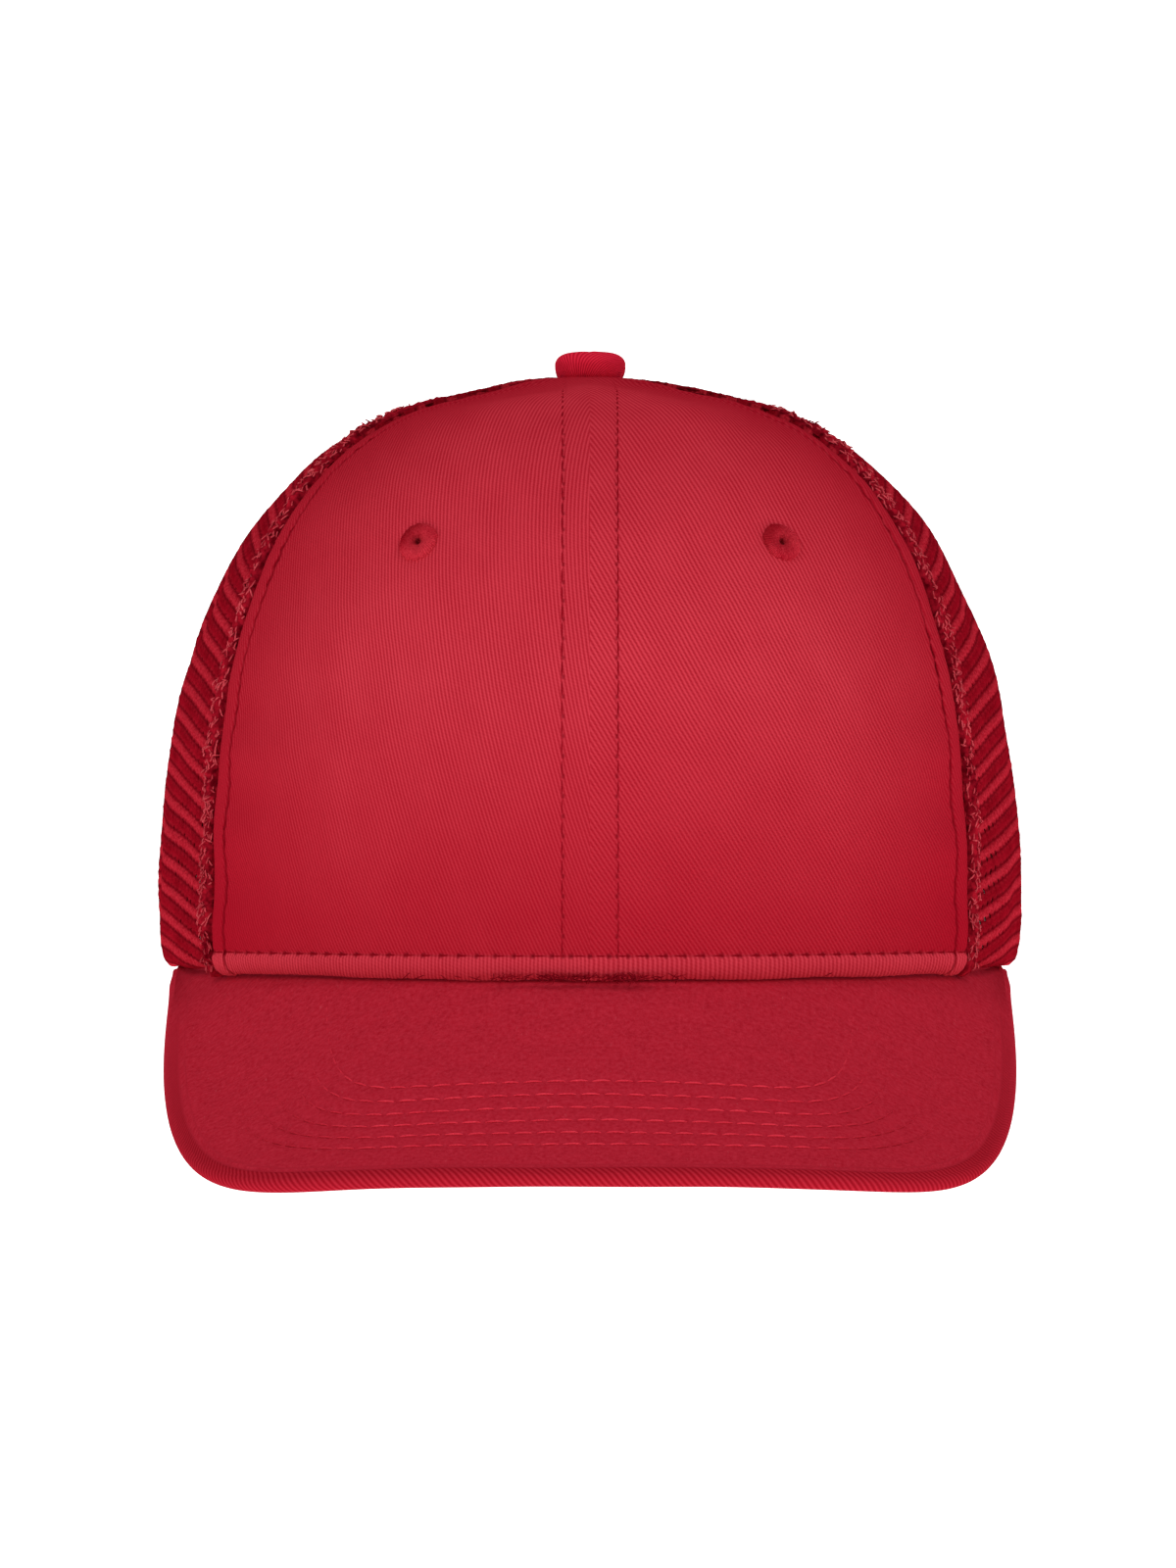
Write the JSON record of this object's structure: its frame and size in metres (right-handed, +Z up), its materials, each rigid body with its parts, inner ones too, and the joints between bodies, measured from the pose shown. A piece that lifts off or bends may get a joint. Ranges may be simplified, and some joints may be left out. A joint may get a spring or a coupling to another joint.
{
  "type": "trucker mesh cap",
  "caption": "Six-panel trucker cap: twill front panels, mesh sides and back, curved stitched visor, covered top button and a plastic snap closure over the rear arch opening.",
  "frame": {"origin": "centre of the head opening, in the plane of the crown's bottom edge", "axes": "+Z up through the top button, -Y forward along the visor, +X to the wearer's left"},
  "size_m": [0.1756, 0.2571, 0.1651],
  "materials": {
    "twill": "cotton twill, matt, soft diagonal rib",
    "visor_twill": "brushed cotton twill, matt",
    "mesh": "open warp-knit polyester net with a slight sheen",
    "buckram": "stiff open-weave buckram",
    "tape": "narrow woven cotton tape",
    "sweatband_cloth": "cotton twill, soft",
    "foam": "thin open-cell foam strip",
    "label_cloth": "satin-woven label, blank",
    "embroidery_thread": "shiny rayon thread, overcast",
    "visor_plastic": "polyethylene sheet, satin",
    "strap_plastic": "moulded polyethylene, satin",
    "button_metal": "stamped, plain"
  },
  "bodies": {
    "cap": {"front_panel_left": "twill", "front_panel_right": "twill", "button_cover": "twill", "visor_top_cover": "visor_twill", "visor_under_cover": "visor_twill", "side_mesh_left": "mesh", "side_mesh_right": "mesh", "back_mesh_left": "mesh", "back_mesh_right": "mesh", "front_backing_left": "buckram", "front_backing_right": "buckram", "front_center_tape": "tape", "front_side_tape_left": "tape", "front_side_tape_right": "tape", "back_side_tape_left": "tape", "back_side_tape_right": "tape", "back_center_tape": "tape", "rear_arch_binding": "tape", "sweatband": "sweatband_cloth", "sweatband_padding": "foam", "size_label": "label_cloth", "eyelet_left": "embroidery_thread", "eyelet_right": "embroidery_thread", "visor_board": "visor_plastic", "hole_strap_tab": "strap_plastic", "peg_strap_tab": "strap_plastic", "button_shell": "button_metal", "button_rivet": "button_metal"},
    "hole_strap": {"hole_strap": "strap_plastic"},
    "peg_strap": {"peg_strap": "strap_plastic"}
  },
  "joints": [
    {"name": "hole_strap_bend", "type": "hinge", "parent": "cap", "child": "hole_strap", "pos_m": [0.0412, 0.0884, 0.011], "axis": [0, 0, -1], "range_deg": [0, 60], "stiffness_Nm_per_rad": 0.01},
    {"name": "peg_strap_bend", "type": "hinge", "parent": "cap", "child": "peg_strap", "pos_m": [-0.04012, 0.08581, 0.011], "axis": [0, 0, -1], "range_deg": [0, 25], "stiffness_Nm_per_rad": 0.01}
  ]
}
